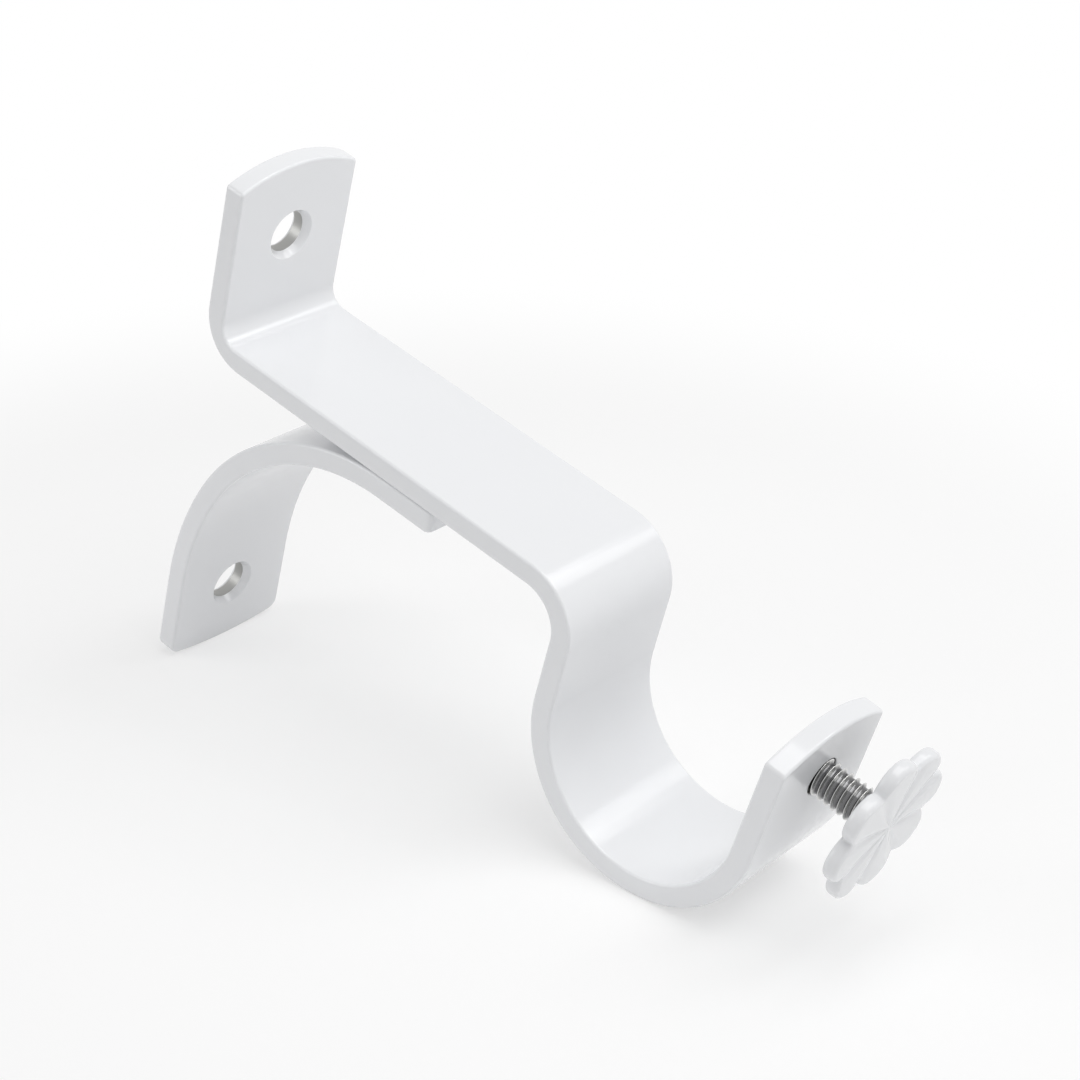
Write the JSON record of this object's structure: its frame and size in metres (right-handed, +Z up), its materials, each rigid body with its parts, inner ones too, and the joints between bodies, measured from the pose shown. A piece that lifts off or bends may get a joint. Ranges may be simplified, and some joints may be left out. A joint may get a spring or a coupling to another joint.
{
  "type": "curtain pole bracket",
  "caption": "White coated steel bracket that carries a round curtain pole in a U cradle off the wall and clamps it with a thumb screw with a flower knob.",
  "frame": {"origin": "on the wall plane, midway between the two fixing holes", "axes": "+X out from the wall, +Z up, +Y along the curtain pole"},
  "size_m": [0.1074, 0.0202, 0.0769],
  "materials": {
    "bar_coat": "gloss white powder coat",
    "screw_steel": "bright zinc plate",
    "knob_gloss": "gloss white"
  },
  "bodies": {
    "bracket": {"arm_strip": "bar_coat", "brace_strip": "bar_coat"},
    "screw": {"screw_shaft": "screw_steel"},
    "knob": {"flower_knob": "knob_gloss"}
  },
  "joints": [
    {"name": "screw_travel", "type": "slide", "parent": "bracket", "child": "screw", "axis": [0.9994, 0, -0.0349], "range_m": [-0.0076, 0.00285]},
    {"name": "knob_turn", "type": "hinge", "parent": "screw", "child": "knob", "pos_m": [0.09709, 0, 0.00665], "axis": [0.9994, 0, -0.0349], "range_deg": [-2881, 1081]}
  ],
  "couplings": [
    {"joint": "knob_turn", "follows": "screw_travel", "rad_per_m": 6613.9}
  ]
}
